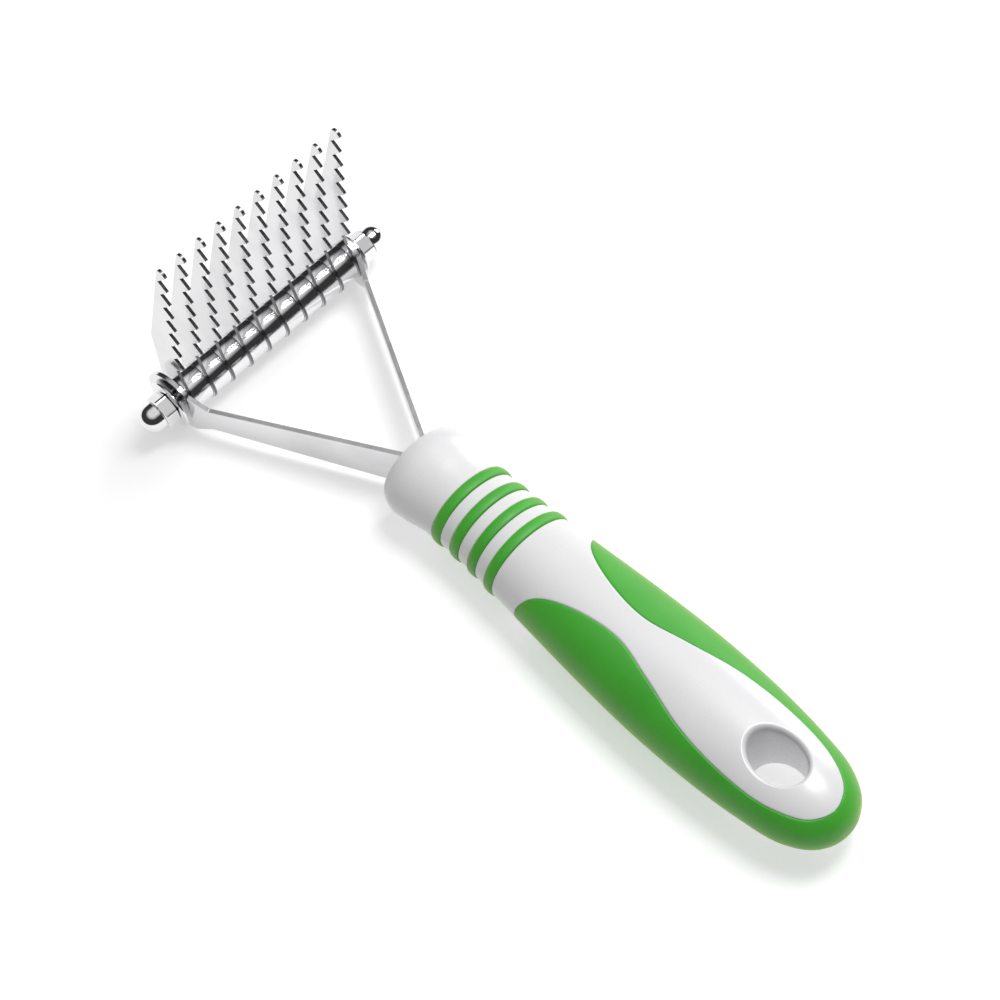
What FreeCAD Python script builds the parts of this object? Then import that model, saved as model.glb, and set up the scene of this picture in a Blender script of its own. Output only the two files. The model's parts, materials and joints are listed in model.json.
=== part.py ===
import FreeCAD, Part
import Sketcher
import math
import os

from FreeCAD import Placement, Rotation, Vector

# A dematting comb lying with its blades up. +X runs along the handle from tail to head, Y runs
# along the axle and +Z along the blades. The origin is the middle of the footprint on the ground.

doc = FreeCAD.newDocument("DemattingComb")
sheet = doc.addObject("Spreadsheet::Sheet", "Dims")

DIMENSIONS = {
    # where the axle line runs
    "axleX": 83.2,
    "axleZ": 7.6,
    # blades and spacers
    "bladePitch": 5.2,
    "bladeThick": 0.7,
    "bladeShift": 0.65,
    "boreRadius": 2.05,
    "spacerRadius": 4.3,
    "endSpacerLong": 1.4,
    # blade outline, measured from the axle
    "baseOffset": 0.8,
    "baseRadius": 5.4,
    "crownHeight": 54.8,
    "crownBack": 9.5,
    "crownRadius": 1.4,
    "toothPitch": 5.6,
    "toothLean": 0.85,
    "toothDepth": 3.2,
    "toothDrop": 3.6,
    "lowToothX": 4.45,
    "lowToothZ": 13.8,
    # axle bolt, cap nut and washer; distances along the axle from the middle
    "shaftRadius": 2.0,
    "shaftEnd": 32.0,
    "endReach": 34.3,
    "headStart": 26.7,
    "headCorner": 3.6,
    "headHexTall": 3.4,
    "headDome": 2.85,
    "nutStart": 26.8,
    "nutCorner": 4.05,
    "nutHexTall": 3.2,
    "nutDome": 3.25,
    "nutBoreDeep": 5.6,
    "washerStart": 26.1,
    "washerThick": 0.6,
    "washerRadius": 5.8,
    "headWasherRadius": 4.7,
    # arms: flat strips in a V, bent to a lug at one end and to a tang at the other
    "lugInner": 24.9,
    "stripThick": 1.0,
    "lugRadius": 7.6,
    "lugBore": 2.06,
    "lugBend": 5.2,
    "waistX": 8.8,
    "waistTop": 2.35,
    "waistBottom": 4.4,
    "shoulderTop": 6.2,
    "shoulderBottom": 5.3,
    "tangGap": 0.02,
    "tangLong": 24.0,
    "tangTall": 9.0,
    # handle
    "handleRise": 1.2,
    "gripFront": 91.6,
    "gripDepth": 1.3,
    "ringFirst": 66.7,
    "ringStep": 5.45,
    "ringBand": 2.3,
    "ringHalfWide": 10.5,
    "ringHalfThick": 8.0,
    "ringDeep": 1.2,
    "holeBehind": 155.4,
    "holeHalfLong": 6.8,
    "holeHalfWide": 4.9,
}

# Handle sections: distance behind the axle, half width, half thickness.
SECTIONS = {
    "front": (49.6, 8.4, 6.3),
    "rim": (50.8, 10.2, 7.6),
    "bell": (53.8, 11.5, 8.55),
    "flare": (57.5, 11.3, 8.4),
    "throat": (63.0, 10.35, 7.8),
    "neck": (74.5, 10.15, 7.65),
    "collar": (84.5, 10.85, 7.95),
    "shoulder": (98.0, 11.9, 8.3),
    "palm": (112.0, 12.9, 8.65),
    "belly": (128.0, 13.55, 8.8),
    "heel": (144.0, 13.2, 8.7),
    "hang": (156.0, 12.1, 8.2),
    "taper": (164.5, 10.6, 7.4),
    "curl": (170.0, 7.9, 5.6),
    "cap": (173.0, 4.4, 3.2),
    "tail": (174.0, 1.3, 1.0),
}

# Half width of the bare core between the two sides of the grip, by distance behind the axle.
INLAY = [(90.6, 13.2), (95.0, 7.9), (103.0, 4.8), (114.5, 3.4), (125.0, 5.7), (137.0, 8.6),
         (150.0, 9.5), (161.0, 8.4), (168.0, 5.4), (170.7, 0.0)]

# How far the hang hole flares, by height over the handle's middle.
HOLE_FLARE = [(9.2, 2.0), (8.2, 0.95), (7.2, 0.3), (5.8, 0.0)]

BLADE_COUNT = 10
TOOTH_COUNT = 8
RING_COUNT = 4
AXLE_WAY = Rotation(Vector(1, 0, 0), -90)  # turns local Z to +Y
HEAD_WAY = Rotation(Vector(1, 0, 0), 90)  # turns local Z to -Y, local Y to +Z
SECTION_WAY = Rotation(Vector(1, 1, 1), 120)  # turns local X, Y, Z to Y, Z, X

entries = dict(DIMENSIONS)
for section, (behind, half_wide, half_thick) in SECTIONS.items():
    entries[section + "Behind"] = behind
    entries[section + "Wide"] = half_wide
    entries[section + "Thick"] = half_thick
for line, (alias, value) in enumerate(entries.items(), start=1):
    sheet.set(f"A{line}", str(value))
    sheet.setAlias(f"A{line}", alias)
doc.recompute()


def dim(alias):
    return float(getattr(sheet, alias))


def bind(obj, **formulas):
    """Tie properties to the sheet; a double underscore in a key stands for a dot."""
    for key, formula in formulas.items():
        obj.setExpression(key.replace("__", "."), formula)
    return obj


def place(obj, x="Dims.axleX", y="0", z="Dims.axleZ", rotation=None):
    """Bind an object's position; without arguments it goes to the middle of the axle."""
    obj.Placement = Placement(Vector(0, 0, 0), rotation or Rotation())
    return bind(obj, Placement__Base__x=x, Placement__Base__y=y, Placement__Base__z=z)


def primitive(kind, name, **formulas):
    return bind(doc.addObject("Part::" + kind, name), **formulas)


def cut(name, base, tool):
    result = doc.addObject("Part::Cut", name)
    result.Base = base
    result.Tool = tool
    return result


def common(name, base, tool):
    result = doc.addObject("Part::Common", name)
    result.Base = base
    result.Tool = tool
    return result


def fuse(name, shapes):
    result = doc.addObject("Part::MultiFuse", name)
    result.Shapes = shapes
    return result


def extrude(name, base, direction, length):
    """A solid from a closed outline, half its length to each side of it."""
    result = doc.addObject("Part::Extrusion", name)
    result.Base = base
    result.DirMode = "Custom"
    result.Dir = direction
    result.Symmetric = True
    result.Solid = True
    return bind(result, LengthFwd=length)


def loft(name, sections):
    result = doc.addObject("Part::Loft", name)
    result.Sections = sections
    result.Solid = True
    return result


def tube(name, outer, inner, start, length):
    """A ring or tube round the axle, from start to start + length."""
    rod = primitive("Cylinder", name + "_rod", Radius=outer, Height=length)
    bore = primitive("Cylinder", name + "_bore", Radius=inner, Height=length)
    place(rod, y=start, rotation=AXLE_WAY)
    place(bore, y=start, rotation=AXLE_WAY)
    return cut(name, rod, bore)


def draw(sketch, pieces):
    """Pairs of points become lines, triples (start, middle, end) become arcs."""
    for piece in pieces:
        points = [Vector(x, y, 0) for x, y in piece]
        edge = Part.LineSegment(*points) if len(points) == 2 else Part.Arc(*points)
        sketch.addGeometry(edge, False)


def path(points):
    return list(zip(points, points[1:]))


def polar(radius, degrees, centre=0.0):
    angle = math.radians(degrees)
    return (centre + radius * math.cos(angle), radius * math.sin(angle))


# --- blades and spacers -------------------------------------------------------------------

# Arcs of the blade's base and crown in degrees, and the two bends of its back edge in mm.
BASE_ARC = (132, 250, 8)
CROWN_ARC = (20, 90, 172)
BACK_EDGE = [(5.2, 12.0), (4.5, 19.0)]


def blade_outline():
    """Side view round the axle: base, back edge, crown, then the teeth from top to bottom."""
    base = [polar(dim("baseRadius"), angle, dim("baseOffset")) for angle in BASE_ARC]
    radius, height = dim("crownRadius"), dim("crownHeight")
    crown = [(-dim("crownBack") + x, height - radius + z)
             for x, z in (polar(radius, angle) for angle in CROWN_ARC)]
    teeth = []
    for number in reversed(range(TOOTH_COUNT)):
        tip = (-dim("lowToothX") - dim("toothLean") * number, dim("lowToothZ") + dim("toothPitch") * number)
        gullet = (tip[0] + dim("toothDepth"), tip[1] - dim("toothDrop"))
        teeth += [tip, gullet]
    back = [base[-1]] + BACK_EDGE + [crown[0]]
    return [tuple(base)] + path(back) + [tuple(crown)] + path([crown[-1]] + teeth + [base[0]])


def make_blade(number):
    name = f"blade_{number + 1:02d}"
    body = doc.addObject("PartDesign::Body", name)
    plane = next(item for item in body.Origin.OriginFeatures if item.Role == "XZ_Plane")
    outline = body.newObject("Sketcher::SketchObject", name + "_outline")
    outline.AttachmentSupport = [(plane, "")]
    outline.MapMode = "FlatFace"
    draw(outline, blade_outline())
    plate = body.newObject("PartDesign::Pad", name + "_plate")
    plate.Profile = outline
    plate.SideType = "Symmetric"
    bind(plate, Length="Dims.bladeThick")
    drill = body.newObject("Sketcher::SketchObject", name + "_drill")
    drill.AttachmentSupport = [(plane, "")]
    drill.MapMode = "FlatFace"
    bore = drill.addGeometry(Part.Circle(Vector(0, 0, 0), Vector(0, 0, 1), dim("boreRadius")), False)
    drill.addConstraint(Sketcher.Constraint("Radius", bore, dim("boreRadius")))
    bind(drill, **{"Constraints[0]": "Dims.boreRadius"})
    pocket = body.newObject("PartDesign::Pocket", name + "_hole")
    pocket.Profile = drill
    pocket.SideType = "Symmetric"
    bind(pocket, Length="Dims.bladeThick * 2")
    body.Tip = pocket
    return place(body, y=f"Dims.bladePitch * {4.5 - number} - Dims.bladeShift")


def make_spacer(number):
    start = f"Dims.bladePitch * {3.5 - number} - Dims.bladeShift + Dims.bladeThick / 2"
    return tube(f"spacer_{number + 1:02d}", "Dims.spacerRadius", "Dims.boreRadius", start,
                "Dims.bladePitch - Dims.bladeThick")


def make_end_spacer():
    start = "Dims.bladePitch * 4.5 - Dims.bladeShift + Dims.bladeThick / 2"
    return tube("end_spacer", "Dims.spacerRadius", "Dims.boreRadius", start, "Dims.endSpacerLong")


# --- fasteners ----------------------------------------------------------------------------

# The corner chamfer is a cone: its slope per mm of height, and its small end against the corner.
CHAMFER_SLOPE = 1.1
CHAMFER_TOP = 0.88


def domed_hexagon(name, rotation, start, corner, hex_tall, dome, way):
    """A chamfered hexagon with a dome on it that ends at endReach; way is +1 or -1 along Y."""
    prism = primitive("Prism", name + "_prism", Circumradius=corner, Height=hex_tall)
    prism.Polygon = 6
    chamfer = primitive("Cone", name + "_chamfer", Radius1=f"{corner} + {hex_tall} * {CHAMFER_SLOPE}",
                        Radius2=f"{corner} * {CHAMFER_TOP}", Height=hex_tall)
    neck = primitive("Cylinder", name + "_neck", Radius=dome,
                     Height=f"Dims.endReach - {start} - {dome}")
    ball = primitive("Sphere", name + "_ball", Radius=dome)
    for solid in (prism, chamfer, neck):
        place(solid, y=f"{way} * {start}", rotation=rotation)
    place(ball, y=f"{way} * (Dims.endReach - {dome})", rotation=rotation)
    return fuse(name + "_body", [common(name + "_hexagon", prism, chamfer), neck, ball])


def make_axle_bolt():
    head = domed_hexagon("bolt_head", HEAD_WAY, "Dims.headStart", "Dims.headCorner",
                         "Dims.headHexTall", "Dims.headDome", -1)
    shaft = primitive("Cylinder", "bolt_shaft", Radius="Dims.shaftRadius",
                      Height="Dims.shaftEnd + Dims.headStart + 1")
    place(shaft, y="-Dims.headStart - 1", rotation=AXLE_WAY)
    return fuse("axle_bolt", [head, shaft])


def make_cap_nut():
    shell = domed_hexagon("nut", AXLE_WAY, "Dims.nutStart", "Dims.nutCorner",
                          "Dims.nutHexTall", "Dims.nutDome", 1)
    bore = primitive("Cylinder", "nut_bore", Radius="Dims.boreRadius", Height="Dims.nutBoreDeep")
    place(bore, y="Dims.nutStart", rotation=AXLE_WAY)
    return cut("cap_nut", shell, bore)


def make_nut_washer():
    return tube("nut_washer", "Dims.washerRadius", "Dims.boreRadius", "Dims.washerStart",
                "Dims.washerThick")


def make_bolt_washer():
    return tube("bolt_washer", "Dims.headWasherRadius", "Dims.boreRadius", "-Dims.headStart",
                "Dims.washerThick")


# --- arms ---------------------------------------------------------------------------------

def strip_outline(side):
    """Top view of one arm: lug, slanted strip and tang; side is +1 or -1 along Y."""
    inner, thick, gap = dim("lugInner"), dim("stripThick"), dim("tangGap")
    front, bend = dim("frontBehind"), dim("lugBend")
    end = front + dim("tangLong")
    slant = math.atan2(inner - gap, front - bend)
    shift = thick * math.tan(slant / 2)
    outer_line = [(dim("lugRadius") + 1, inner + thick), (-bend, inner + thick),
                  (-front, gap + thick), (-end, gap + thick)]
    inner_line = [(-end, gap), (-front + shift, gap), (-bend + shift, inner),
                  (dim("lugRadius") + 1, inner)]
    loop = outer_line + inner_line + outer_line[:1]
    return path([(x, side * y) for x, y in loop])


def touch_point(point, side):
    """Where the line from a point touches the lug's circle, above (+1) or below (-1)."""
    away = math.degrees(math.acos(dim("lugRadius") / math.hypot(*point)))
    heading = math.degrees(math.atan2(point[1], point[0]))
    return polar(dim("lugRadius"), heading - side * away)


def arm_side_outline():
    """Side view of an arm: round lug, waist, shoulder at the handle and narrower tang."""
    top = (-dim("waistX"), dim("waistTop"))
    bottom = (-dim("waistX"), -dim("waistBottom"))
    front = -dim("frontBehind")
    end = front - dim("tangLong")
    tang_top = dim("handleRise") + dim("tangTall") / 2
    tang_bottom = dim("handleRise") - dim("tangTall") / 2
    upper = touch_point(top, 1)
    lower = touch_point(bottom, -1)
    loop = [upper, top, (front, dim("shoulderTop")), (front, tang_top), (end, tang_top),
            (end, tang_bottom), (front, tang_bottom), (front, -dim("shoulderBottom")), bottom, lower]
    return path(loop) + [(lower, (dim("lugRadius"), 0.0), upper)]


def make_arm(name, side):
    plan = doc.addObject("Sketcher::SketchObject", name + "_plan")
    draw(plan, strip_outline(side))
    place(plan)
    profile = doc.addObject("Sketcher::SketchObject", name + "_profile")
    draw(profile, arm_side_outline())
    place(profile, rotation=HEAD_WAY)
    strip = extrude(name + "_strip", plan, Vector(0, 0, 1), "Dims.lugRadius * 4")
    sides = extrude(name + "_sides", profile, Vector(0, 1, 0), "Dims.endReach * 2")
    blank = common(name + "_blank", strip, sides)
    bore = primitive("Cylinder", name + "_bore", Radius="Dims.lugBore", Height="Dims.endReach * 2")
    place(bore, y="-Dims.endReach", rotation=AXLE_WAY)
    return cut(name, blank, bore)


# --- handle -------------------------------------------------------------------------------

def oval(name, half_wide, half_thick, behind):
    """An upright ellipse across the handle."""
    ring = primitive("Ellipse", name, MajorRadius=half_wide, MinorRadius=half_thick)
    return place(ring, x=f"Dims.axleX - ({behind})", z="Dims.axleZ + Dims.handleRise",
                 rotation=SECTION_WAY)


def handle_loft(name, sections, depth):
    return loft(name, [oval(f"{name}_{key}", f"Dims.{key}Wide - {depth}", f"Dims.{key}Thick - {depth}",
                            f"Dims.{key}Behind") for key in sections])


def make_ring(number):
    name = f"neck_ring_{number + 1}"
    middle = f"Dims.ringFirst + Dims.ringStep * {number}"
    outer = oval(name + "_outer", "Dims.ringHalfWide", "Dims.ringHalfThick", middle)
    inner = oval(name + "_inner", "Dims.ringHalfWide - Dims.ringDeep",
                 "Dims.ringHalfThick - Dims.ringDeep", middle)
    return cut(name, extrude(name + "_full", outer, Vector(1, 0, 0), "Dims.ringBand"),
               extrude(name + "_void", inner, Vector(1, 0, 0), "Dims.ringBand * 2"))


def make_hang_hole():
    """An oval well through the handle with flared rims."""
    heights = [(-z, extra) for z, extra in HOLE_FLARE] + [(z, extra) for z, extra in reversed(HOLE_FLARE)]
    levels = []
    for number, (height, extra) in enumerate(heights):
        level = primitive("Ellipse", f"hole_level_{number}", MajorRadius=f"Dims.holeHalfLong + {extra}",
                          MinorRadius=f"Dims.holeHalfWide + {extra}")
        levels.append(place(level, x="Dims.axleX - Dims.holeBehind",
                            z=f"Dims.axleZ + Dims.handleRise + {height}"))
    return loft("hang_hole", levels)


def make_grip(handle):
    """The soft skin: the handle's outer layer behind gripFront, less the inlay windows."""
    edge = [Vector(-behind, half, 0) for behind, half in INLAY]
    edge += [Vector(-behind, -half, 0) for behind, half in reversed(INLAY[:-1])]
    curve = Part.BSplineCurve()
    curve.interpolate(edge)
    window_plan = doc.addObject("Sketcher::SketchObject", "inlay_plan")
    window_plan.addGeometry(curve, False)
    window_plan.addGeometry(Part.LineSegment(edge[-1], edge[0]), False)
    place(window_plan)
    window = extrude("inlay_window", window_plan, Vector(0, 0, 1), "Dims.bellyThick * 4")
    zone = primitive("Box", "grip_zone", Length="Dims.tailBehind - Dims.gripFront + 1",
                     Width="Dims.bellyWide * 4", Height="Dims.bellyThick * 4")
    place(zone, x="Dims.axleX - Dims.tailBehind - 1", y="-Dims.bellyWide * 2",
          z="Dims.axleZ + Dims.handleRise - Dims.bellyThick * 2")
    backed = [key for key in SECTIONS if SECTIONS["collar"][0] <= SECTIONS[key][0] <= SECTIONS["curl"][0]]
    backing = handle_loft("grip_backing", backed, "Dims.gripDepth")
    layer = cut("grip_layer", common("grip_blank", handle, zone), backing)
    return cut("grip_overmould", layer, window)


def make_core(handle, grip, rings):
    slot = primitive("Box", "tang_slot", Length="Dims.tangLong + 1",
                     Width="(Dims.stripThick + Dims.tangGap) * 2", Height="Dims.tangTall")
    place(slot, x="Dims.axleX - Dims.frontBehind - Dims.tangLong", y="-Dims.stripThick - Dims.tangGap",
          z="Dims.axleZ + Dims.handleRise - Dims.tangTall / 2")
    bare = cut("core_bare", handle, grip)
    grooved = cut("core_grooved", bare, fuse("ring_grooves", rings))
    slotted = cut("core_slotted", grooved, slot)
    return cut("handle_core", slotted, make_hang_hole())


# --- assembly -----------------------------------------------------------------------------

handle_blank = handle_loft("handle_blank", SECTIONS, "0")
grip_overmould = make_grip(handle_blank)
neck_rings = [make_ring(number) for number in range(RING_COUNT)]
nodes = [make_core(handle_blank, grip_overmould, neck_rings), grip_overmould] + neck_rings
nodes += [make_arm("left_arm", 1), make_arm("right_arm", -1), make_axle_bolt()]
nodes += [make_blade(number) for number in range(BLADE_COUNT)]
nodes += [make_spacer(number) for number in range(BLADE_COUNT - 1)]
nodes += [make_end_spacer(), make_bolt_washer(), make_nut_washer(), make_cap_nut()]
doc.recompute()

for item in doc.Objects:
    if "Invalid" in item.State or "Error" in item.State:
        raise RuntimeError(f"{item.Name} failed: {item.State}")
os.makedirs("parts", exist_ok=True)
for node in nodes:
    if node.Shape.isNull() or not node.Shape.isValid():
        raise RuntimeError(f"{node.Name} has no valid shape")
    node.Shape.exportStep(f"parts/{node.Label}.step")
    print(f"{node.Label}: {node.Shape.Volume:.1f} mm3, {len(node.Shape.Solids)} solid")
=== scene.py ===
# %% [markdown]
# # A dematting comb
# Ten serrated steel blades stand on an axle bolt between two flat arms. The arms end inside a
# white plastic handle with a green soft skin, four soft rings on its neck and a hang hole.
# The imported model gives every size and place. This lesson builds finer meshes on top of it.

# %% Load the frame
import json
import math

import bmesh
import bpy
import numpy as np
from mathutils import Matrix, Vector


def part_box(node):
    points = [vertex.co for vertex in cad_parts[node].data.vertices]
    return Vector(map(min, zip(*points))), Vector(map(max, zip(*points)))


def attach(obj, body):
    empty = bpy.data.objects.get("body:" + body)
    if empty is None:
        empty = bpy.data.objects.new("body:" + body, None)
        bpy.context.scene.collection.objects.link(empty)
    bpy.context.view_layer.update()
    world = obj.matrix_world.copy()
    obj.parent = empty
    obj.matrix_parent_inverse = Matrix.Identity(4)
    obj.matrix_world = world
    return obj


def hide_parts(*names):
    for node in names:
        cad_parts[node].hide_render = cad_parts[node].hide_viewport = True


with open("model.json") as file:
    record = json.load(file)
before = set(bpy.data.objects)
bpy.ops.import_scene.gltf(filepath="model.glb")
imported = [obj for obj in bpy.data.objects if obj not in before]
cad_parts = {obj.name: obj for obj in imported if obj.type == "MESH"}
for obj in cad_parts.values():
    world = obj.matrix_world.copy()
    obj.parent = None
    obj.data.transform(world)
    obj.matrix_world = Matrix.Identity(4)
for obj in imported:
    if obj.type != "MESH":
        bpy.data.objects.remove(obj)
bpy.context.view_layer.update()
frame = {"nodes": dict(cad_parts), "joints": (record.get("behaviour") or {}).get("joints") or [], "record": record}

MM = 0.001
nodes = frame["nodes"]
hinge = next(joint for joint in frame["joints"] if joint["name"] == "bank_swing")
AXLE = Vector(hinge["pos_m"]) / MM
BODY_OF = {node: body
           for body, members in frame["record"]["behaviour"]["bodies"].items() for node in members}
print("axle at", AXLE, "and nodes:", len(nodes))

# %% [markdown]
# ## Mesh helpers
# All pieces are drawn in millimetres round the axle, because that is how the comb is measured.
# One helper turns points and faces into an object that rides on its body and stands in for its
# CAD node, so that nothing is left behind when the blades swing.

# %% Points and faces into a riding piece
def finish_mesh(name, points, faces, material, node, sharp=35.0, bevel=0.0):
    """Points are in millimetres from the axle; the piece replaces the CAD node of that name."""
    mesh = bpy.data.meshes.new(name)
    mesh.from_pydata([(AXLE + Vector(p)) * MM for p in points], [], faces)
    work = bmesh.new()
    work.from_mesh(mesh)
    bmesh.ops.remove_doubles(work, verts=work.verts, dist=0.001 * MM)
    bmesh.ops.dissolve_degenerate(work, edges=work.edges, dist=0.002 * MM)
    bmesh.ops.recalc_face_normals(work, faces=work.faces)
    work.to_mesh(mesh)
    open_edges = sum(1 for edge in work.edges if not edge.is_manifold)
    work.free()
    mesh.polygons.foreach_set("use_smooth", [True] * len(mesh.polygons))
    mesh.set_sharp_from_angle(angle=math.radians(sharp))
    mesh.materials.append(material)
    piece = bpy.data.objects.new(name, mesh)
    bpy.context.scene.collection.objects.link(piece)
    if bevel:
        soften(piece, bevel)
    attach(piece, BODY_OF[node])
    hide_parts(node)
    print(f"{name}: {len(mesh.polygons)} faces, {open_edges} open edges")
    return piece


def soften(piece, width):
    """A small rounded edge where two faces meet at an angle."""
    edge = piece.modifiers.new("soft edge", "BEVEL")
    edge.width = width * MM
    edge.segments = 3
    edge.limit_method = "ANGLE"
    edge.angle_limit = math.radians(28)
    edge.harden_normals = True


# %% Curves through a few points
def smooth_curve(points, per_span=40):
    """A Catmull-Rom curve through the points, sampled evenly in each span."""
    points = np.array(points, float)
    ends = np.vstack([2 * points[0] - points[1], points, 2 * points[-1] - points[-2]])
    knots = np.concatenate([[0], np.cumsum(np.linalg.norm(np.diff(ends, axis=0), axis=1) ** 0.5)])
    samples = []
    for i in range(1, len(ends) - 2):
        t0, t1, t2, t3 = knots[i - 1:i + 3]
        for t in np.linspace(t1, t2, per_span, endpoint=False):
            a1 = (t1 - t) / (t1 - t0) * ends[i - 1] + (t - t0) / (t1 - t0) * ends[i]
            a2 = (t2 - t) / (t2 - t1) * ends[i] + (t - t1) / (t2 - t1) * ends[i + 1]
            a3 = (t3 - t) / (t3 - t2) * ends[i + 1] + (t - t2) / (t3 - t2) * ends[i + 2]
            b1 = (t2 - t) / (t2 - t0) * a1 + (t - t0) / (t2 - t0) * a2
            b2 = (t3 - t) / (t3 - t1) * a2 + (t - t1) / (t3 - t1) * a3
            samples.append((t2 - t) / (t2 - t1) * b1 + (t - t1) / (t2 - t1) * b2)
    samples.append(points[-1])
    return np.array(samples)


# %% Grids of points
def grid_faces(rows, columns, start=0, wrap=False):
    """Quads between neighbouring rows; wrap joins the last column to the first."""
    faces = []
    for r in range(rows - 1):
        for c in range(columns if wrap else columns - 1):
            d = (c + 1) % columns
            a = start + r * columns
            faces.append((a + c, a + d, a + columns + d, a + columns + c))
    return faces


# %% [markdown]
# ## Camera
# The comb is seen from above and behind its tail, with a long lens, so that the blades look
# nearly parallel. The camera's three axes are given as directions, which keeps its roll exact.

# %% Camera
camera_data = bpy.data.cameras.new("camera")
camera_data.lens = 130.15
camera_data.sensor_width = 36.0
camera_data.clip_start = 0.05
camera = bpy.data.objects.new("camera", camera_data)
bpy.context.scene.collection.objects.link(camera)
bpy.context.scene.camera = camera
view_right = Vector((-0.6761, -0.7272, -0.1187)).normalized()
view_back = Vector((-0.4497, 0.2796, 0.8483)).normalized()
view_up = view_back.cross(view_right).normalized()
view_right = view_up.cross(view_back)
place = AXLE * MM + Vector((-403.7, 202.6, 631.3)) * MM
camera.matrix_world = Matrix((
    (view_right.x, view_up.x, view_back.x, place.x),
    (view_right.y, view_up.y, view_back.y, place.y),
    (view_right.z, view_up.z, view_back.z, place.z),
    (0, 0, 0, 1)))
print("camera", tuple(round(v, 3) for v in place), "lens", camera_data.lens)

# %% [markdown]
# ## Floor and studio light
# A white sweep lit from all sides keeps the plastic clean and soft. The sweep glows a little by
# itself, as a light table does, so the shadows on it stay pale. Polished steel only looks like
# steel when it has something dark to mirror too, so the studio is bright overhead and on the floor
# and dark in a wide band between them. Only reflections see that band: behind the comb the
# camera sees a pale backdrop.

# %% Floor
def stage_material(name, colour, roughness):
    material = bpy.data.materials.new(name)
    material.use_nodes = True
    shader = material.node_tree.nodes["Principled BSDF"]
    shader.inputs["Base Color"].default_value = (*colour, 1)
    shader.inputs["Roughness"].default_value = roughness
    return material


def card(name, size, place, target, material):
    """A flat rectangle at a place that faces a target, both in metres."""
    half = size / 2
    mesh = bpy.data.meshes.new(name)
    corners = [(-half, -half, 0), (half, -half, 0), (half, half, 0), (-half, half, 0)]
    mesh.from_pydata(corners, [], [(0, 1, 2, 3)])
    mesh.materials.append(material)
    sheet = bpy.data.objects.new(name, mesh)
    bpy.context.scene.collection.objects.link(sheet)
    sheet.location = place
    sheet.rotation_euler = (Vector(target) - Vector(place)).to_track_quat("Z", "Y").to_euler()


floor_white = stage_material("floor_white", (0.6, 0.6, 0.6), 0.85)
floor_shader = floor_white.node_tree.nodes["Principled BSDF"]
floor_shader.inputs["Emission Color"].default_value = (1, 1, 1, 1)
floor_shader.inputs["Emission Strength"].default_value = 0.5
FLOOR_SIZE = 6.0
card("floor", FLOOR_SIZE, (0, 0, -0.0002), (0, 0, 1), floor_white)
print("floor", FLOOR_SIZE, "m wide")

# %% Lights
def softbox(name, size, way, distance, watts):
    """A square light that faces the comb from a direction."""
    light = bpy.data.lights.new(name, "AREA")
    light.shape = "SQUARE"
    light.size = size
    light.energy = watts
    lamp = bpy.data.objects.new(name, light)
    bpy.context.scene.collection.objects.link(lamp)
    lamp.location = Vector(way).normalized() * distance
    lamp.rotation_euler = (-lamp.location).to_track_quat("-Z", "Y").to_euler()
    print(f"{name}: {size} m wide, {watts} W")


softbox("overhead_light", 0.36, (-0.04, -0.4, 0.91), 0.85, 5.2)
softbox("side_light", 0.45, (0.2, -0.95, 0.35), 1.1, 3.6)

# %% World
world = bpy.data.worlds.new("studio")
world.use_nodes = True
bpy.context.scene.world = world
bpy.context.scene.view_settings.view_transform = "Standard"
sky = world.node_tree
sky_way = sky.nodes.new("ShaderNodeTexCoord")
sky_split = sky.nodes.new("ShaderNodeSeparateXYZ")
sky_ramp = sky.nodes.new("ShaderNodeValToRGB")
backdrop = sky.nodes.new("ShaderNodeMix")
backdrop.data_type = "RGBA"
backdrop.inputs["B"].default_value = (0.9, 0.9, 0.9, 1)
seen = sky.nodes.new("ShaderNodeLightPath")
sky.links.new(sky_way.outputs["Generated"], sky_split.inputs[0])
sky.links.new(sky_split.outputs["Z"], sky_ramp.inputs[0])
sky.links.new(seen.outputs["Is Camera Ray"], backdrop.inputs["Factor"])
sky.links.new(sky_ramp.outputs[0], backdrop.inputs["A"])
sky.links.new(backdrop.outputs["Result"], sky.nodes["Background"].inputs["Color"])
for stop, (position, grey) in zip(sky_ramp.color_ramp.elements, ((0.66, 0.04), (0.9, 0.8))):
    stop.position = position
    stop.color = (grey, grey, grey, 1)
sky.nodes["Background"].inputs["Strength"].default_value = 1.0

# %% [markdown]
# ## Shared surface effects
# Two effects are used by more than one finish, so each is a node group. The grain group gives a
# roughness and a height from stretched noise: round for moulded plastic, long for ground steel.
# The marks group blends softly between the colour of clean and of handled places.

# %% Node groups
def new_group(name, inputs, outputs):
    group = bpy.data.node_groups.new(name, "ShaderNodeTree")
    for label, kind, value in inputs:
        socket = group.interface.new_socket(name=label, in_out="INPUT", socket_type=kind)
        socket.default_value = value
    for label, kind in outputs:
        group.interface.new_socket(name=label, in_out="OUTPUT", socket_type=kind)
    return group, group.nodes.new("NodeGroupInput"), group.nodes.new("NodeGroupOutput")


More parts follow.
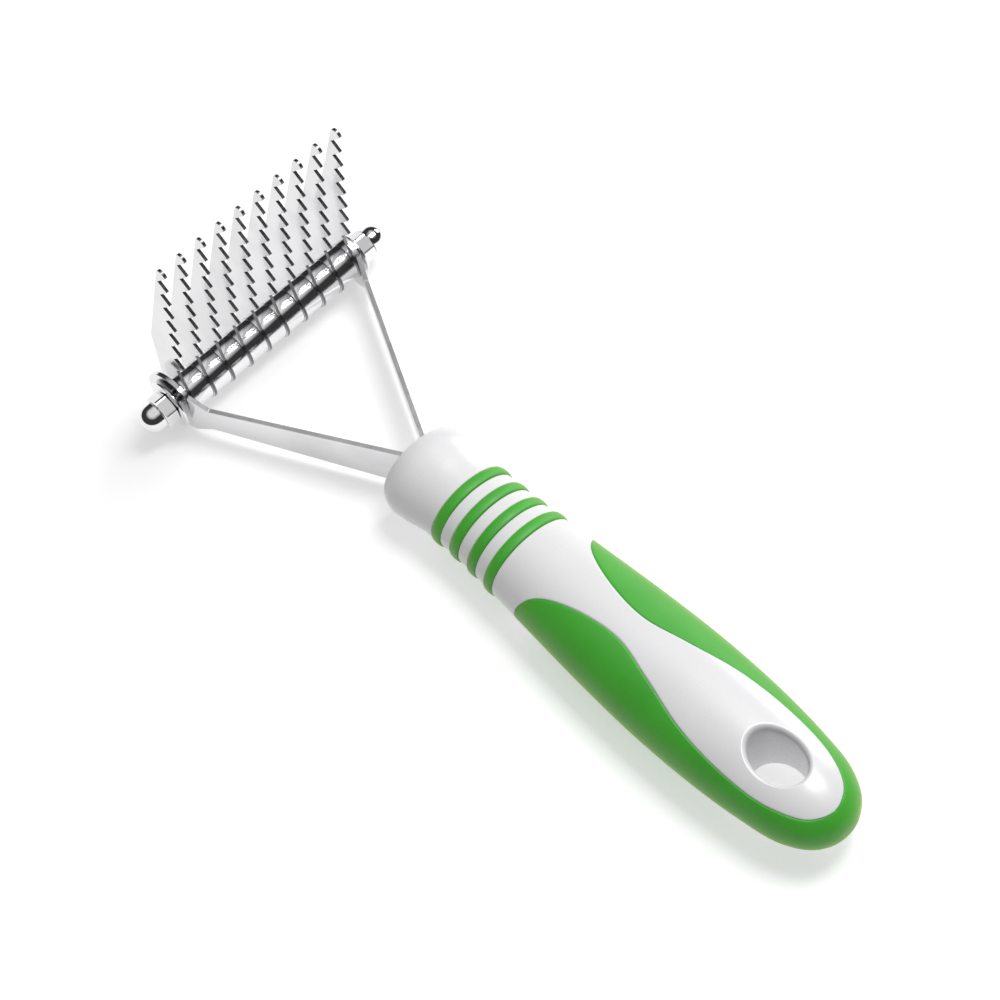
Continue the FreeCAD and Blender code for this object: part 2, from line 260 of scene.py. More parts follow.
def make_grain_group():
    """Stretched noise as a roughness between two limits and as a height."""
    group, given, result = new_group(
        "surface_grain",
        [("Scale", "NodeSocketFloat", 900.0), ("Stretch", "NodeSocketVector", (1, 1, 1)),
         ("Smooth", "NodeSocketFloat", 0.2), ("Rough", "NodeSocketFloat", 0.4)],
        [("Roughness", "NodeSocketFloat"), ("Height", "NodeSocketFloat")])
    where = group.nodes.new("ShaderNodeTexCoord")
    pull = group.nodes.new("ShaderNodeVectorMath")
    pull.operation = "MULTIPLY"
    noise = group.nodes.new("ShaderNodeTexNoise")
    noise.inputs["Detail"].default_value = 3.0
    spread = group.nodes.new("ShaderNodeMapRange")
    spread.inputs["From Min"].default_value = 0.3
    spread.inputs["From Max"].default_value = 0.7
    join = group.links.new
    join(where.outputs["Object"], pull.inputs[0])
    join(given.outputs["Stretch"], pull.inputs[1])
    join(pull.outputs[0], noise.inputs["Vector"])
    join(given.outputs["Scale"], noise.inputs["Scale"])
    join(noise.outputs["Fac"], spread.inputs["Value"])
    join(given.outputs["Smooth"], spread.inputs["To Min"])
    join(given.outputs["Rough"], spread.inputs["To Max"])
    join(spread.outputs["Result"], result.inputs["Roughness"])
    join(noise.outputs["Fac"], result.inputs["Height"])
    return group


def make_marks_group():
    """A colour that drifts in wide soft marks between a clean and a handled one."""
    group, given, result = new_group(
        "handling_marks",
        [("Scale", "NodeSocketFloat", 60.0), ("Clean", "NodeSocketColor", (1, 1, 1, 1)),
         ("Handled", "NodeSocketColor", (0.8, 0.8, 0.8, 1))],
        [("Color", "NodeSocketColor")])
    where = group.nodes.new("ShaderNodeTexCoord")
    noise = group.nodes.new("ShaderNodeTexNoise")
    noise.inputs["Detail"].default_value = 4.0
    spread = group.nodes.new("ShaderNodeMapRange")
    spread.interpolation_type = "SMOOTHSTEP"
    spread.inputs["From Min"].default_value = 0.42
    spread.inputs["From Max"].default_value = 0.68
    blend = group.nodes.new("ShaderNodeMix")
    blend.data_type = "RGBA"
    join = group.links.new
    join(where.outputs["Object"], noise.inputs["Vector"])
    join(given.outputs["Scale"], noise.inputs["Scale"])
    join(noise.outputs["Fac"], spread.inputs["Value"])
    join(spread.outputs["Result"], blend.inputs["Factor"])
    join(given.outputs["Clean"], blend.inputs["A"])
    join(given.outputs["Handled"], blend.inputs["B"])
    join(blend.outputs["Result"], result.inputs["Color"])
    return group


GRAIN = make_grain_group()
MARKS = make_marks_group()
print("groups:", GRAIN.name, MARKS.name)

# %% [markdown]
# ## Finishes
# The comb has seven finishes: hard glossy white plastic, satin green rubber, mirror plated steel
# for the axle's parts, polished sheet steel for the blades and another for the arms, each with its
# own grain, and two for the punched edges, which were never polished: dark on the blades' teeth,
# and paler where the thicker arms have been tumbled.

# %% One recipe for every finish
GRAIN_DEEP = 0.02


def finish(name, clean, handled, grain, stretch, smooth, rough, bump, **shader_values):
    """A material from the two shared groups; shader_values are set on the shader itself."""
    material = bpy.data.materials.new(name)
    material.use_nodes = True
    tree = material.node_tree
    shader = tree.nodes["Principled BSDF"]
    marks = tree.nodes.new("ShaderNodeGroup")
    marks.node_tree = MARKS
    marks.inputs["Clean"].default_value = (*clean, 1)
    marks.inputs["Handled"].default_value = (*handled, 1)
    texture = tree.nodes.new("ShaderNodeGroup")
    texture.node_tree = GRAIN
    texture.inputs["Scale"].default_value = grain
    texture.inputs["Stretch"].default_value = stretch
    texture.inputs["Smooth"].default_value = smooth
    texture.inputs["Rough"].default_value = rough
    relief = tree.nodes.new("ShaderNodeBump")
    relief.inputs["Strength"].default_value = bump
    relief.inputs["Distance"].default_value = GRAIN_DEEP * MM
    tree.links.new(marks.outputs["Color"], shader.inputs["Base Color"])
    tree.links.new(texture.outputs["Roughness"], shader.inputs["Roughness"])
    tree.links.new(texture.outputs["Height"], relief.inputs["Height"])
    tree.links.new(relief.outputs["Normal"], shader.inputs["Normal"])
    for label, value in shader_values.items():
        shader.inputs[label.replace("_", " ")].default_value = value
    return material


white_plastic = finish("white_plastic", (0.74, 0.74, 0.75), (0.725, 0.725, 0.735), 3200.0, (1, 1, 1),
                       0.26, 0.34, 0.04, Coat_Weight=0.15, Coat_Roughness=0.12)
green_rubber = finish("green_rubber", (0.04, 0.38, 0.02), (0.035, 0.35, 0.018), 2600.0, (1, 1, 1),
                      0.42, 0.56, 0.4, Specular_IOR_Level=0.55, Sheen_Weight=0.55,
                      Sheen_Roughness=0.45, Sheen_Tint=(1.0, 0.85, 0.4, 1))
plated_steel = finish("plated_steel", (0.82, 0.82, 0.83), (0.76, 0.76, 0.78), 700.0, (1, 1, 1),
                      0.05, 0.12, 0.05, Metallic=1.0)
blade_steel = finish("blade_steel", (0.68, 0.68, 0.69), (0.6, 0.6, 0.61), 900.0, (3, 1, 0.15),
                     0.08, 0.17, 0.2, Metallic=1.0)
cut_edge = finish("cut_edge", (0.16, 0.16, 0.165), (0.24, 0.24, 0.245), 1500.0, (1, 1, 1),
                  0.22, 0.38, 0.5, Metallic=1.0)
worn_edge = finish("worn_edge", (0.72, 0.72, 0.73), (0.64, 0.64, 0.65), 1500.0, (1, 1, 1),
                   0.32, 0.46, 0.06, Metallic=1.0)
arm_steel = finish("arm_steel", (0.76, 0.76, 0.77), (0.68, 0.68, 0.69), 900.0, (0.12, 1, 3),
                   0.1, 0.2, 0.2, Metallic=1.0)
print("finishes:", ", ".join(material.name for material in bpy.data.materials if material != floor_white))

# %% [markdown]
# ## The handle's surface
# The handle is an oval that changes along its length: a flared bell at the front, a slim ringed
# neck, a full belly and a rounded tail. One curve holds its half width and half thickness. Every
# moulded piece is cut from that one surface, so the white and the green meet without a gap.

# %% Profile of the handle
# Distance behind the axle, half width, half thickness.
PROFILE = smooth_curve([
    (49.9, 6.6, 4.9), (49.6, 7.7, 5.7), (49.75, 8.9, 6.6), (50.8, 10.2, 7.6), (53.8, 11.5, 8.55),
    (57.5, 11.3, 8.4), (63.0, 10.35, 7.8), (74.5, 10.15, 7.65), (84.5, 10.85, 7.95),
    (98.0, 11.9, 8.3), (112.0, 12.9, 8.65), (128.0, 13.55, 8.8), (144.0, 13.2, 8.7),
    (156.0, 12.1, 8.2), (164.5, 10.6, 7.4), (170.0, 7.9, 5.6), (172.5, 5.2, 3.8),
    (173.7, 2.6, 1.9), (174.0, 0.0, 0.0)])[40:]
RISE = 1.2  # the handle's middle stands this far over the axle
INLAY = smooth_curve([(90.2, 14.0), (92.0, 10.9), (95.0, 7.9), (103.0, 4.8), (114.5, 3.4),
                      (125.0, 5.7), (137.0, 8.6), (150.0, 9.5), (161.0, 8.4), (168.0, 5.4),
                      (170.3, 2.2), (170.7, 0.0)])
BEHIND, WIDE, THICK = PROFILE.T
slope = np.gradient((WIDE + THICK) / 2, np.arange(len(BEHIND)))
run = np.gradient(BEHIND, np.arange(len(BEHIND)))
NORMAL_ALONG = -slope / np.hypot(slope, run)
NORMAL_OUT = run / np.hypot(slope, run)


def along(u, values):
    return float(np.interp(u, BEHIND, values))


def handle_point(u, angle, sink):
    """A point on the handle at distance u behind the axle, sunk below the surface."""
    out = along(u, NORMAL_OUT)
    y = max(along(u, WIDE) - sink * out, 0.0) * math.cos(angle)
    z = max(along(u, THICK) - sink * out, 0.0) * math.sin(angle)
    return (-(u - sink * along(u, NORMAL_ALONG)), y, z + RISE)


def inlay_half(u):
    return float(np.interp(u, INLAY[:, 0], INLAY[:, 1]))


def seam_angle(u):
    """Where white meets green: 0 in front of the green, a quarter turn behind the white."""
    return math.acos(min(1.0, max(0.0, inlay_half(u) / along(u, WIDE)))) if u < TAIL else math.pi / 2


TAIL = INLAY[-1, 0]
NOSE = next(u for u in np.arange(90.3, 95.0, 0.01) if inlay_half(u) < along(u, WIDE))
print(f"green starts {NOSE:.1f} mm behind the axle and the inlay ends at {TAIL:.1f} mm")

# %% Rings, hole and rows
RING_FIRST, RING_STEP, RING_COUNT = 66.7, 5.45, 4
RINGS = [RING_FIRST + RING_STEP * number for number in range(RING_COUNT)]
RING_HALF = 1.25  # half the width of a band
ROW_STEP, ROW_CLOSEST = 0.9, 0.05
BELL_AT, BELL_STEP = 53.0, 0.3
HOLE_AT, HOLE_LONG, HOLE_WIDE = 155.4, 6.8, 4.9
RIM_LONG, RIM_WIDE = 7.9, 5.95


def rim_half(u):
    inside = 1 - ((u - HOLE_AT) / RIM_LONG) ** 2
    return RIM_WIDE * math.sqrt(inside) if inside > 0 else 0.0


def handle_rows(first, last):
    """Row positions: even steps, closer where an outline turns quickly."""
    rows = set(np.round(np.arange(first, last, ROW_STEP), 3))
    near = [0.0, 0.05, 0.12, 0.22, 0.35, 0.52, 0.75, 1.05, 1.4, 1.8, 2.3, 2.9]
    rows |= {NOSE + d for d in near} | {TAIL - d for d in near}
    rows |= {HOLE_AT - RIM_LONG * math.cos(math.pi * i / 32) for i in range(33)}
    for ring in RINGS:
        rows |= {ring + side * d for side in (-1, 1) for d in (1.05, 1.3, 1.42)}
    rows |= {BELL_AT - BELL_STEP * i for i in range(10)} | {last - d for d in near}
    kept = []
    fixed = {round(u, 4) for u in (NOSE, TAIL, HOLE_AT - RIM_LONG, HOLE_AT + RIM_LONG)}
    for u in sorted(u for u in rows if first <= u <= last):
        if kept and u - kept[-1] < ROW_CLOSEST:
            if round(u, 4) in fixed:
                kept[-1] = u
            continue
        kept.append(u)
    return kept


# %% [markdown]
# ## Seam columns
# Round the handle the surface is a set of strips: two white ones (above and below) and two green
# ones (the sides). Their edges follow the seam, so the seam is a clean line of edges. The outer
# columns of each strip roll down into the fine groove that a two-shot moulding has there.

# %% Columns across one strip
GROOVE = [(0.0, 0.22), (0.12, 0.12), (0.3, 0.02), (0.5, 0.0)]  # distance from the seam, sink
GROOVE_FULL = 2.4  # a strip narrower than this gets a narrower groove
SKIN = 1.25
WHITE_COLUMNS, SIDE_COLUMNS, GREEN_COLUMNS = 14, 17, 26
THINNEST = 0.3  # keeps angles finite where the handle ends in a point


def strip_columns(start, end, radius, count, rolled=(True, True)):
    """Angles and sinks from start to end; rolled says which of the two edges roll into the groove."""
    squeeze = min(1.0, abs(end - start) * radius / GROOVE_FULL)
    step = squeeze / radius * (1 if end >= start else -1)
    head = [(start + d * step, s * squeeze * rolled[0]) for d, s in GROOVE]
    tail = [(end - d * step, s * squeeze * rolled[1]) for d, s in GROOVE]
    inner = np.linspace(head[-1][0], tail[-1][0], count + 2)[1:-1]
    return head + [(a, 0.0) for a in inner] + tail[::-1]


# %% Handle core
def core_row(u):
    """One closed loop of the white core: top strip in two halves, side, bottom in two, side."""
    seam = seam_angle(u)
    radius = max(along(u, WIDE), THINNEST)
    grooved = NOSE < u <= TAIL
    hole = math.acos(min(1.0, rim_half(u) / radius)) if rim_half(u) else math.pi / 2
    depth = SKIN if grooved or u > TAIL else 0.0
    quarter = strip_columns(seam, hole, radius, WHITE_COLUMNS, (grooved, False))
    shares = [i / (SIDE_COLUMNS - 1) for i in range(SIDE_COLUMNS)]
    loop = list(quarter)
    loop += [(math.pi - a, s) for a, s in reversed(quarter)]
    loop += [(math.pi - seam + 2 * seam * share, depth) for share in shares]
    loop += [(math.pi + a, s) for a, s in quarter]
    loop += [(2 * math.pi - a, s) for a, s in reversed(quarter)]
    loop += [(-seam + 2 * seam * share, depth) for share in shares]
    return loop, len(quarter)


RING_SEAT, RING_SEAT_HALF = 0.3, 1.35


def ring_sink(u):
    return RING_SEAT if any(abs(u - ring) < RING_SEAT_HALF for ring in RINGS) else 0.0


CORE_FRONT, FRONT_MIDDLE = 49.62, 49.9
CORE_END = TAIL - 0.03  # the core stops inside the grip, where the inlay has closed
END_MIDDLE = CORE_END + 0.35


def make_core():
    points, faces = [], []
    rows = handle_rows(CORE_FRONT, CORE_END)
    loops = []
    for u in rows:
        loop, quarter = core_row(u)
        deep = ring_sink(u)
        loops.append([handle_point(u, angle, sink + deep) for angle, sink in loop])
    columns = len(loops[0])
    for loop in loops:
        points += loop
    hole_rows = [i for i, u in enumerate(rows) if abs(u - HOLE_AT) <= RIM_LONG + 0.001]
    top_gap = quarter - 1
    bottom_gap = quarter * 2 + SIDE_COLUMNS + quarter - 1
    for r in range(len(rows) - 1):
        for c in range(columns):
            d = (c + 1) % columns
            in_hole = hole_rows[0] <= r < hole_rows[-1]
            if in_hole and c in (top_gap, bottom_gap):
                continue
            faces.append((r * columns + c, r * columns + d, (r + 1) * columns + d, (r + 1) * columns + c))
    for row, u in ((0, FRONT_MIDDLE), (len(rows) - 1, END_MIDDLE)):
        ring = [row * columns + c for c in range(columns)]
        middle = (-u, 0.0, RISE)
        inner = []
        for share in (0.8, 0.4):
            start = len(points)
            points += [tuple(middle[k] + (points[i][k] - middle[k]) * share for k in range(3))
                       for i in ring]
            nxt = list(range(start, start + columns))
            prev = inner or ring
            faces += [(prev[c], prev[(c + 1) % columns], nxt[(c + 1) % columns], nxt[c])
                      for c in range(columns)]
            inner = nxt
        points.append(middle)
        faces += [(inner[c], inner[(c + 1) % columns], len(points) - 1) for c in range(columns)]
    add_hole_wall(points, faces, rows, hole_rows)
    return finish_mesh("handle_shell", points, faces, white_plastic, "handle_core", sharp=50)


RIM_DEEP = 1.7
WALL_DEPTHS = (3.6, 5.2, 6.8)
WALL_MIDDLE = 0.8


def add_hole_wall(points, faces, rows, hole_rows):
    """The well through the tail: a rounded rim, a straight wall and a rounded rim below."""
    outline = [(rows[i], 1) for i in hole_rows] + [(rows[i], -1) for i in reversed(hole_rows)]
    depths = [(math.sin(t), RIM_DEEP * (1 - math.cos(t))) for t in np.linspace(0, math.pi / 2, 10)]
    depths += [(1.0, depth) for depth in WALL_DEPTHS]
    start = len(points)
    for half in (1, -1):
        for inward, depth in (depths if half == 1 else reversed(depths)):
            for u, side in outline:
                rim_y = rim_half(u) * side
                radius = along(u, WIDE)
                top = along(u, THICK) * math.sqrt(max(0.0, 1 - (rim_y / radius) ** 2))
                u_new = HOLE_AT + (u - HOLE_AT) * (1 - inward * (1 - HOLE_LONG / RIM_LONG))
                y_new = rim_y * (1 - inward * (1 - HOLE_WIDE / RIM_WIDE))
                height = max(top - depth, WALL_MIDDLE)
                points.append((-u_new, y_new, half * height + RISE))
    count = len(outline)
    faces += grid_faces(len(depths) * 2, count, start, wrap=True)


make_core()

# %% Soft grip
GRIP_END, HANDLE_END = 173.96, 174.0


def grip_loop(u, inner):
    """Both green strips of one row, as angles and sinks."""
    seam = seam_angle(u)
    radius = max(along(u, WIDE), THINNEST)
    grooved = u <= TAIL
    right = strip_columns(-seam, seam, radius, GREEN_COLUMNS, (grooved, grooved))
    if inner:
        right = [(a, SKIN - 0.03) for a, s in right]
    return right, [(math.pi + a, s) for a, s in right]


def make_grip():
    rows = handle_rows(NOSE, GRIP_END)
    points, faces = [], []
    columns = len(grip_loop(120.0, False)[0])
    block = columns * 4
    for u in rows:
        for inner in (False, True):
            for strip in grip_loop(u, inner):
                points += [handle_point(u, angle, sink) for angle, sink in strip]
    last_seam = max(i for i, u in enumerate(rows) if u <= TAIL + 0.001)
    for r in range(len(rows) - 1):
        a, b = r * block, (r + 1) * block
        for strip in range(4):
            for c in range(columns - 1):
                i = strip * columns + c
                faces.append((a + i, a + i + 1, b + i + 1, b + i))
        if r < last_seam:
            for strip in range(2):
                for c in (0, columns - 1):
                    outer, inner = strip * columns + c, (strip + 2) * columns + c
                    faces.append((a + outer, a + inner, b + inner, b + outer))
    for strip in range(2):
        for c in range(columns - 1):
            outer, inner = strip * columns + c, (strip + 2) * columns + c
            faces.append((outer, outer + 1, inner + 1, inner))
    end = (len(rows) - 1) * block
    points.append((-HANDLE_END, 0.0, RISE))
    points.append((-HANDLE_END + SKIN, 0.0, RISE))
    for strip in range(4):
        for c in range(columns - 1):
            i = end + strip * columns + c
            faces.append((i, i + 1, len(points) - (2 if strip < 2 else 1)))
    return finish_mesh("soft_grip", points, faces, green_rubber, "grip_overmould", sharp=60)


make_grip()

# %% Neck rings
RING_ROOT, RING_PROUD, RING_TURNS = -0.55, 0.42, 120


def make_neck_ring(number):
    """A soft band with a rounded back, set into the core."""
    middle = RINGS[number]
    section = [(-RING_HALF, RING_ROOT), (-RING_HALF, 0.0)]
    section += [(-RING_HALF * math.cos(t), RING_PROUD * math.sin(t) ** 0.8)
                for t in np.linspace(0.25, math.pi - 0.25, 11)]
    section += [(RING_HALF, 0.0), (RING_HALF, RING_ROOT)]
    points = []
    for k in range(RING_TURNS):
        angle = 2 * math.pi * k / RING_TURNS
        for shift, proud in section:
            a = along(middle, WIDE) + proud
            b = along(middle, THICK) + proud
            points.append((-(middle + shift), a * math.cos(angle), b * math.sin(angle) + RISE))
    size = len(section)
    faces = []
    for k in range(RING_TURNS):
        for c in range(size):
            d, n = (c + 1) % size, (k + 1) % RING_TURNS
            faces.append((k * size + c, k * size + d, n * size + d, n * size + c))
    name = f"neck_ring_{number + 1}"
    return finish_mesh(name + "_band", points, faces, green_rubber, name, sharp=60)


for number in range(RING_COUNT):
    make_neck_ring(number)

# %% [markdown]
# ## Turned steel
# Spacers, washers, bolt and cap nut are turned or pressed round the axle. A grid of rings makes
# them all: each ring has a place along the axle and a radius, and the radius may change with the
# angle, which is how the same grid makes a hexagon with a chamfer, or a screw thread.

# %% Rings round the axle
def turned(name, rings, node, material, steps=96, closed=True, sharp=32.0):
    """rings is a list of (distance along the axle, radius); a radius may be a function of angle."""
    points = []
    for y, radius in rings:
        for k in range(steps):
            angle = 2 * math.pi * k / steps
            r = radius(angle) if callable(radius) else radius
            where = y(angle) if callable(y) else y
            points.append((r * math.cos(angle), where, r * math.sin(angle)))
    faces = grid_faces(len(rings), steps, wrap=True)
    if closed:
        last = (len(rings) - 1) * steps
        faces += [(last + k, last + (k + 1) % steps, (k + 1) % steps, k) for k in range(steps)]
    return finish_mesh(name, points, faces, material, node, sharp=sharp)


def span_of(node):
    low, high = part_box(node)
    return low.y / MM - AXLE.y, high.y / MM - AXLE.y, (high.x - low.x) / MM / 2


def tube_rings(start, end, outer, bore, edge):
    """A tube with rounded outer edges."""
    corner = [(edge * (1 - math.sin(t)), edge * (1 - math.cos(t)))
              for t in np.linspace(0, math.pi / 2, 5)]
    rings = [(start, bore)] + [(start + a, outer - b) for a, b in reversed(corner)]
    rings += [(end - a, outer - b) for a, b in corner] + [(end, bore)]
    return rings


BORE = 2.05
SPACER_EDGE, WASHER_EDGE = 0.14, 0.22
for node in sorted(nodes):
    if node.startswith("spacer_") or node.endswith(("_spacer", "_washer")):
        start, end, radius = span_of(node)
        edge = WASHER_EDGE if node.endswith("_washer") else SPACER_EDGE
        turned(node + "_ring", tube_rings(start, end, radius, BORE, edge), node, plated_steel)

# %% [markdown]
# ## Domed hexagons
# The cap nut and the bolt's head are both a hexagon with a turned chamfer under a dome. Where the
# chamfer cuts the flats it leaves the curved edges that every real nut has, and the ring grid
# gives them by itself: a corner stands further out, so the chamfer starts lower there.

# %% Hexagon and dome rings
CROWN_SHARE = 0.93  # the round top of the chamfer, against the width over the flats
CORNER_SHARE = 0.985  # corners are a little worn
CHAMFER_ANGLE = 30
DOME_FOOT = [(0.0, 0.25), (0.07, 0.07), (0.25, 0.0)]  # height over the hexagon, out from the dome


def hexagon_rings(start, end, corner, tall, dome, way):
    """Rings from the flat underside at start to the dome's top at end, for either way along Y."""
    flat = corner * math.cos(math.pi / 6)
    crown = flat * CROWN_SHARE
    lift = math.tan(math.radians(CHAMFER_ANGLE))

    def side(angle):
        turn = (angle + math.pi / 6) % (math.pi / 3) - math.pi / 6
        return min(flat / math.cos(turn), corner * CORNER_SHARE)

    def at(height):
        return start + way * height

    def chamfer(angle):
        return at(tall - (side(angle) - crown) * lift)

    def foot(angle):
        return at(max(0.0, (side(angle) - crown) * lift * 0.5))

    rings = [(at(0.0), crown), (foot, side), (lambda angle: (foot(angle) + chamfer(angle)) / 2, side),
             (chamfer, side), (at(tall), crown)]
    rings += [(at(tall + height), dome + out) for height, out in DOME_FOOT]
    middle = abs(end - start) - dome
    rings += [(at(middle + dome * math.sin(t)), dome * math.cos(t))
              for t in np.linspace(0, math.pi / 2, 22)]
    return rings


THREAD_PITCH = 0.7
THREAD_DEEP = 0.34


def thread_radius(y, outer):
    """A screw thread as a radius that climbs once per turn."""
    def radius(angle):
        phase = (y / THREAD_PITCH - angle / (2 * math.pi)) % 1.0
        return outer - THREAD_DEEP * abs(2 * phase - 1)
    return radius


# %% Bolt and cap nut
SHAFT = 2.0
THREAD_FROM = 24.0
HEAD_TALL, HEAD_DOME = 3.4, 2.85
NUT_TALL, NUT_DOME, NUT_DEEP = 3.2, 3.25, 5.6
bolt_low, bolt_high, head_corner = span_of("axle_bolt")
nut_low, nut_high, nut_corner = span_of("cap_nut")
washer_low = span_of("bolt_washer")[0]
bolt_rings = [(bolt_high, 0.0), (bolt_high, SHAFT - 0.5), (bolt_high - 0.25, SHAFT - 0.2)]
bolt_rings += [(y, thread_radius(y, SHAFT))
               for y in np.arange(bolt_high - 0.4, THREAD_FROM, -THREAD_PITCH / 8)]
bolt_rings += [(THREAD_FROM - 0.3, SHAFT), (washer_low, SHAFT)]
bolt_rings += hexagon_rings(washer_low, bolt_low, head_corner, HEAD_TALL, HEAD_DOME, -1)
turned("axle_bolt_turned", bolt_rings, "axle_bolt", plated_steel, closed=False)
nut_rings = [(nut_low + NUT_DEEP, 0.0), (nut_low + NUT_DEEP, BORE),
             (nut_low + 0.3, BORE), (nut_low, BORE + 0.3)]
nut_rings += hexagon_rings(nut_low, nut_high, nut_corner, NUT_TALL, NUT_DOME, 1)
turned("cap_nut_turned", nut_rings, "cap_nut", plated_steel, closed=False)

# %% [markdown]
# ## Blades
# A blade is punched from thin sheet: a round base on the axle, a long taper to a blunt tip and
# large teeth on the handle's side. It is drawn once as an outline, filled, and given a thickness.
# The punched edges get a small radius, which is what makes thin steel glint.

# %% Flat plates
def in_order(points, faces):
    """The same mesh with points and faces sorted by place, so that every run stores it alike."""
    order = sorted(range(len(points)), key=points.__getitem__)
    rank = {old: new for new, old in enumerate(order)}
    turned_faces = []
    for face in faces:
        face = [rank[i] for i in face]
        first = face.index(min(face))
        turned_faces.append(face[first:] + face[:first])
    return [points[i] for i in order], sorted(turned_faces)


def plate(name, outline, bore, thick, node, material, edge, raw, is_cut, cuts=(), shape=None):
    """A flat plate in X and Z with a round hole on the axle; cuts add lines, shape may bend it.
    raw is the finish of the punched edge, and is_cut picks its faces by normal and middle."""
    work = bmesh.new()
    hole = [(bore * math.cos(a), bore * math.sin(a))
            for a in np.linspace(0, 2 * math.pi, 48, endpoint=False)]
    loops = []
    for loop in (outline, hole):
        corners = [work.verts.new((x, -thick / 2, z)) for x, z in loop]
        loops.append([work.edges.new((a, b)) for a, b in zip(corners, corners[1:] + corners[:1])])
    bmesh.ops.triangle_fill(work, edges=loops[0] + loops[1], use_beauty=True)
    for x in cuts:
        parts = list(work.verts) + list(work.edges) + list(work.faces)
        bmesh.ops.bisect_plane(work, geom=parts, plane_co=(x, 0, 0), plane_no=(1, 0, 0))
    grown = bmesh.ops.extrude_face_region(work, geom=list(work.faces))
    for item in grown["geom"]:
        if isinstance(item, bmesh.types.BMVert):
            item.co.y += thick
    bmesh.ops.recalc_face_normals(work, faces=work.faces)
    points = [shape(v.co) if shape else tuple(v.co) for v in work.verts]
    work.verts.index_update()
    faces = [[v.index for v in face.verts] for face in work.faces]
    work.free()
    points, faces = in_order(points, faces)
    piece = finish_mesh(name, points, faces, material, node, sharp=24, bevel=edge)
    piece.data.materials.append(raw)
    for face in piece.data.polygons:
        middle = sum((piece.data.vertices[i].co for i in face.vertices), Vector()) / len(face.vertices)
        face.material_index = 1 if is_cut(face.normal, middle / MM - AXLE) else 0


def arc(centre, radius, start, end, steps):
    """Points on an arc, angles in degrees."""
    return [(centre[0] + radius * math.cos(a), centre[1] + radius * math.sin(a))
            for a in np.radians(np.linspace(start, end, steps))]


# %% Blade outline
BASE_CENTRE, BASE_RADIUS = (0.8, 0.0), 5.4
BACK_EDGE = [(5.2, 12.0), (4.5, 19.0)]
CROWN_CENTRE, CROWN_RADIUS = (-9.5, 53.4), 1.4
TOOTH_COUNT = 8
LOW_TOOTH = (-4.45, 13.8)
TOOTH_LEAN, TOOTH_PITCH = 0.85, 5.6
TOOTH_DEPTH, TOOTH_DROP = 3.2, 3.6
TIP_BLUNT = [(0.1, 0.12), (0.12, -0.12)]
GULLET_ROUND = [(-0.18, 0.22), (0.0, 0.02), (-0.2, -0.16)]
BLADE_EDGE = 0.05


def blade_outline():
    """Base, back edge, crown, then the teeth from top to bottom."""
    base = arc(BASE_CENTRE, BASE_RADIUS, 132, 368, 40)
    crown = arc(CROWN_CENTRE, CROWN_RADIUS, 20, 172, 10)
    teeth = []
    for number in reversed(range(TOOTH_COUNT)):
        tip = (LOW_TOOTH[0] - TOOTH_LEAN * number, LOW_TOOTH[1] + TOOTH_PITCH * number)
        gullet = (tip[0] + TOOTH_DEPTH, tip[1] - TOOTH_DROP)
        teeth += [(tip[0] + x, tip[1] + z) for x, z in TIP_BLUNT]
        teeth += [(gullet[0] + x, gullet[1] + z) for x, z in GULLET_ROUND]
    return base + BACK_EDGE + crown + teeth


for node in sorted(nodes):
    if node.startswith("blade_"):
        low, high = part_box(node)
        middle = ((low.y + high.y) / 2) / MM - AXLE.y
        plate(node + "_plate", blade_outline(), BORE, (high.y - low.y) / MM, node, blade_steel, BLADE_EDGE,
              raw=cut_edge, is_cut=lambda normal, middle: abs(normal.y) < 0.5,
              shape=lambda co, y=middle: (co.x, co.y + y, co.z))

# %% [markdown]
# ## Arms
# Each arm is one flat strip bent twice: out of the handle, along the slant and straight again at
# the lug. It is drawn flat like a blade, cut across where it bends, and then laid along its path.

# %% The strip's path
TANG_END, HANDLE_FRONT = -73.6, -49.6
ARM_CORNERS = [(TANG_END, 0.52), (-49.46, 0.52), (-5.07, 25.4), (8.0, 25.4)]
ARM_BENDS = (3.0, 2.0)


def bent_path(side):
    """The strip's middle line seen from above, as points with the distance along it."""
    line = [Vector((*ARM_CORNERS[0], 0))]
    for before, corner, after, radius in zip(ARM_CORNERS, ARM_CORNERS[1:], ARM_CORNERS[2:], ARM_BENDS):
        corner = Vector((*corner, 0))
        toward = (Vector((*before, 0)) - corner).normalized()
        onward = (Vector((*after, 0)) - corner).normalized()
        half = toward.angle(onward) / 2
        reach = radius / math.tan(half)
        middle = corner + (toward + onward).normalized() * radius / math.sin(half)
        first, last = corner + toward * reach - middle, corner + onward * reach - middle
        line += [middle + first.slerp(last, t) for t in np.linspace(0, 1, 7)]
    line.append(Vector((*ARM_CORNERS[-1], 0)))
    line = [Vector((p.x, p.y * side, 0)) for p in line]
    gone = np.concatenate([[0], np.cumsum([(b - a).length for a, b in zip(line, line[1:])])])
    return line, gone - gone[-1] + ARM_CORNERS[-1][0]


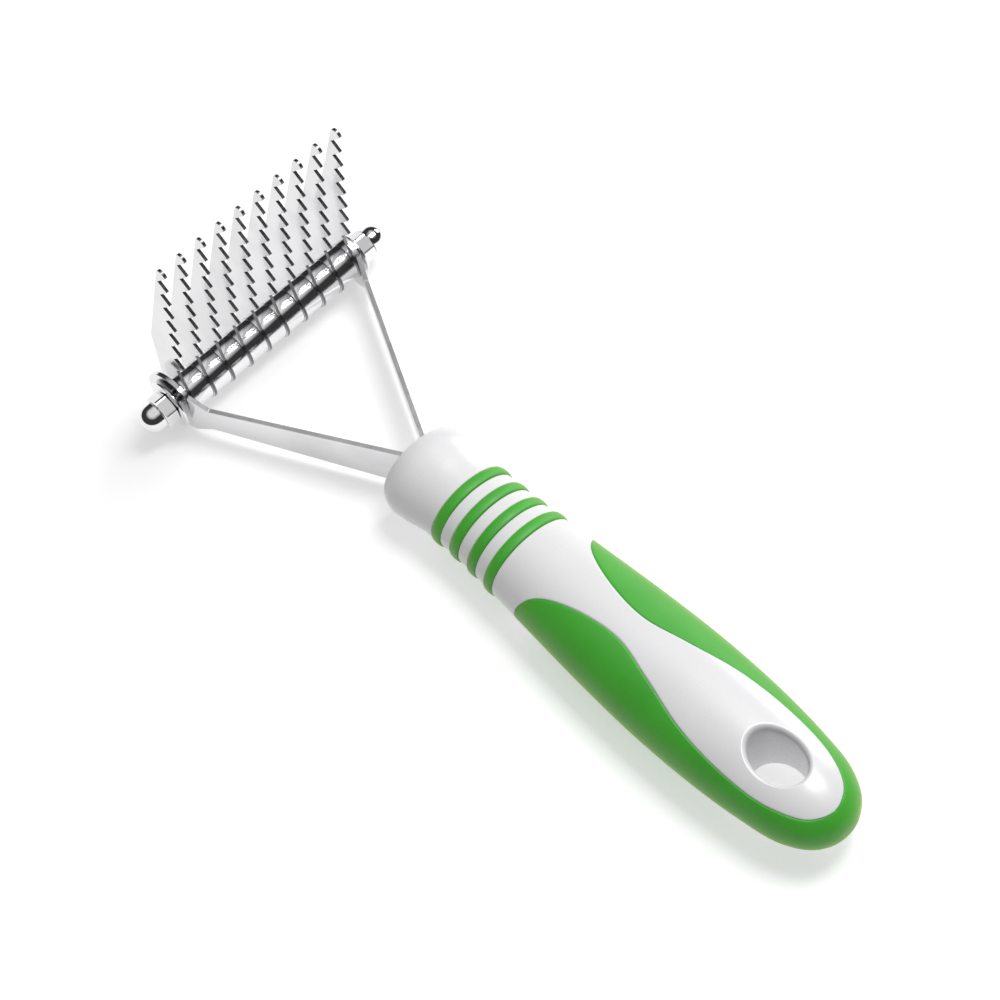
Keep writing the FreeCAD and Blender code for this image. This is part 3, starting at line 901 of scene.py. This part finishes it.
def arm_shape(side):
    line, gone = bent_path(side)

    def lay(co):
        k = int(np.clip(np.searchsorted(gone, co.x, side="right") - 1, 0, len(line) - 2))
        step = (line[k + 1] - line[k]).normalized()
        across = Vector((-step.y, step.x, 0))
        if abs(co.x - gone[k]) < 1e-4 and k > 0:
            before = (line[k] - line[k - 1]).normalized()
            across = (across + Vector((-before.y, before.x, 0))).normalized()
        spot = line[k] + step * (co.x - gone[k]) + across * co.y
        return (spot.x, spot.y, co.z)
    return lay, line, gone


# %% The strip's outline
LUG = 7.56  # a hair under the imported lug, so that the finer strip stays inside its box
WAIST_TOP, WAIST_BOTTOM = (-8.8, 2.35), (-8.8, -4.4)
SHOULDER_TOP, SHOULDER_BOTTOM = 6.2, -5.3
TANG_HALF = 4.5
ARM_BORE, ARM_THICK, ARM_EDGE = 2.06, 1.0, 0.14
LUG_BEHIND = -6.0  # the worn edge starts behind the lug


def lug_touch(point, above):
    """The angle at which the line from a point touches the lug's circle."""
    away = math.degrees(math.acos(LUG / math.hypot(*point)))
    return math.degrees(math.atan2(point[1], point[0])) % 360 - above * away


def make_arm(name, side):
    lay, line, gone = arm_shape(side)

    def unrolled(x):
        return float(np.interp(x, [p.x for p in line], gone))

    front, end = unrolled(HANDLE_FRONT), unrolled(TANG_END)
    outline = arc((0, 0), LUG, lug_touch(WAIST_BOTTOM, -1) - 360, lug_touch(WAIST_TOP, 1), 60)
    outline += [(unrolled(WAIST_TOP[0]), WAIST_TOP[1]), (front, SHOULDER_TOP),
                (front, RISE + TANG_HALF), (end, RISE + TANG_HALF),
                (end, RISE - TANG_HALF), (front, RISE - TANG_HALF),
                (front, SHOULDER_BOTTOM), (unrolled(WAIST_BOTTOM[0]), WAIST_BOTTOM[1])]
    plate(name + "_strip", outline, ARM_BORE, ARM_THICK, name, arm_steel, ARM_EDGE,
          raw=worn_edge, is_cut=lambda normal, middle: abs(normal.z) > 0.5 and middle.x < LUG_BEHIND,
          cuts=gone[1:-1], shape=lay)


make_arm("left_arm", 1)
make_arm("right_arm", -1)
